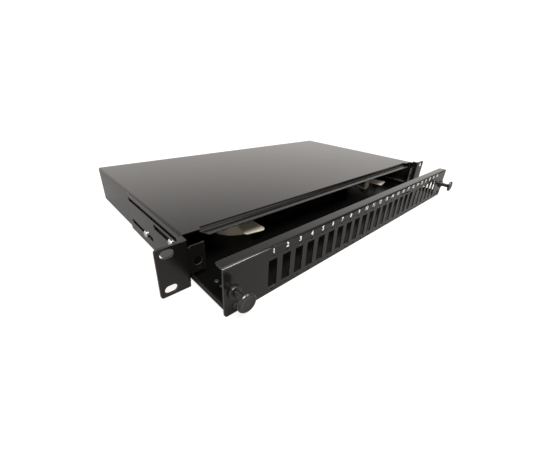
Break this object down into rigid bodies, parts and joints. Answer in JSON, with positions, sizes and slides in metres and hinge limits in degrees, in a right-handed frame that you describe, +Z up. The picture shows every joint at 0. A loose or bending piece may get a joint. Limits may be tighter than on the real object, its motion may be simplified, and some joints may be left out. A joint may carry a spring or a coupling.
{
  "type": "sliding fiber termination panel",
  "caption": "Flat black rack-mount fiber termination box with a pull-out drawer, a row of upright adapter openings, push-pull latches, adjustable ears and a splice tray.",
  "frame": {"origin": "centre of the four rack slots, on the front face of the ears", "axes": "+X to the right seen from the front, +Y towards the back, +Z up"},
  "size_m": [0.4826, 0.3284, 0.0444],
  "materials": {
    "powder_coat_black": "satin black powder coat on sheet steel",
    "powder_coat_matt": "matt black powder coat inside the drawer",
    "galvanised_steel": "galvanised sheet",
    "zinc_fasteners": "bright zinc plate",
    "black_fasteners": "black zinc plate",
    "brass_earth": "turned brass",
    "nylon_black": "matt black nylon",
    "seal_rubber": "soft black rubber",
    "latch_plastic": "semi-gloss black nylon",
    "ivory_plastic": "moulded ivory plastic",
    "tray_plastic": "moulded black plastic",
    "white_print": "white screen-printed ink",
    "tray_lid_clear": "smoke-clear plastic sheet"
  },
  "bodies": {
    "housing": {"cover": "powder_coat_black", "base_plate": "powder_coat_black", "rear_panel": "powder_coat_black", "slide_rail_left": "galvanised_steel", "slide_rail_right": "galvanised_steel", "rail_rivets": "zinc_fasteners", "rear_screws": "zinc_fasteners", "bracket_screws": "zinc_fasteners", "bracket_nuts": "zinc_fasteners", "earth_stud": "brass_earth", "earth_washer": "brass_earth", "earth_nut": "brass_earth", "gland_body_left": "nylon_black", "gland_body_right": "nylon_black", "gland_locknut_left": "nylon_black", "gland_locknut_right": "nylon_black", "gland_dome_left": "nylon_black", "gland_dome_right": "nylon_black", "blanking_plug_left": "nylon_black", "blanking_plug_right": "nylon_black", "gland_seal_left": "seal_rubber", "gland_seal_right": "seal_rubber"},
    "ear_left": {"ear_bracket_left": "powder_coat_black"},
    "ear_right": {"ear_bracket_right": "powder_coat_black"},
    "plunger_left": {"plunger_left": "latch_plastic"},
    "plunger_right": {"plunger_right": "latch_plastic"},
    "drawer": {"front_panel": "powder_coat_black", "panel_screws": "black_fasteners", "drawer_tray": "powder_coat_matt", "glide_pad_left": "nylon_black", "glide_pad_right": "nylon_black", "glide_pad_rivets": "black_fasteners", "drawer_stop_left": "powder_coat_matt", "drawer_stop_right": "powder_coat_matt", "stop_rivets": "black_fasteners", "plunger_bush_left": "latch_plastic", "plunger_bush_right": "latch_plastic", "fibre_guide_front_left": "ivory_plastic", "fibre_guide_front_right": "ivory_plastic", "fibre_guide_back_left": "ivory_plastic", "fibre_guide_back_right": "ivory_plastic", "fibre_guide_screws": "zinc_fasteners", "splice_tray_base": "tray_plastic", "splice_tray_lid": "tray_lid_clear", "splice_comb_front": "tray_plastic", "splice_comb_back": "tray_plastic", "splice_tray_posts": "galvanised_steel", "splice_tray_screws": "zinc_fasteners", "cable_anchor_left": "nylon_black", "cable_anchor_right": "nylon_black", "cable_anchor_screws": "zinc_fasteners"}
  },
  "joints": [
    {"name": "drawer_slide", "type": "slide", "parent": "housing", "child": "drawer", "axis": [0, -1, 0], "range_m": [-0.0464, 0.11]},
    {"name": "plunger_left_push", "type": "slide", "parent": "drawer", "child": "plunger_left", "axis": [0, 1, 0], "range_m": [0, 0.0075]},
    {"name": "plunger_right_push", "type": "slide", "parent": "drawer", "child": "plunger_right", "axis": [0, 1, 0], "range_m": [0, 0.0075]},
    {"name": "ear_left_adjust", "type": "slide", "parent": "housing", "child": "ear_left", "axis": [0, -1, 0], "range_m": [-0.0015, 0.034]},
    {"name": "ear_right_adjust", "type": "slide", "parent": "housing", "child": "ear_right", "axis": [0, -1, 0], "range_m": [-0.0015, 0.034]}
  ]
}
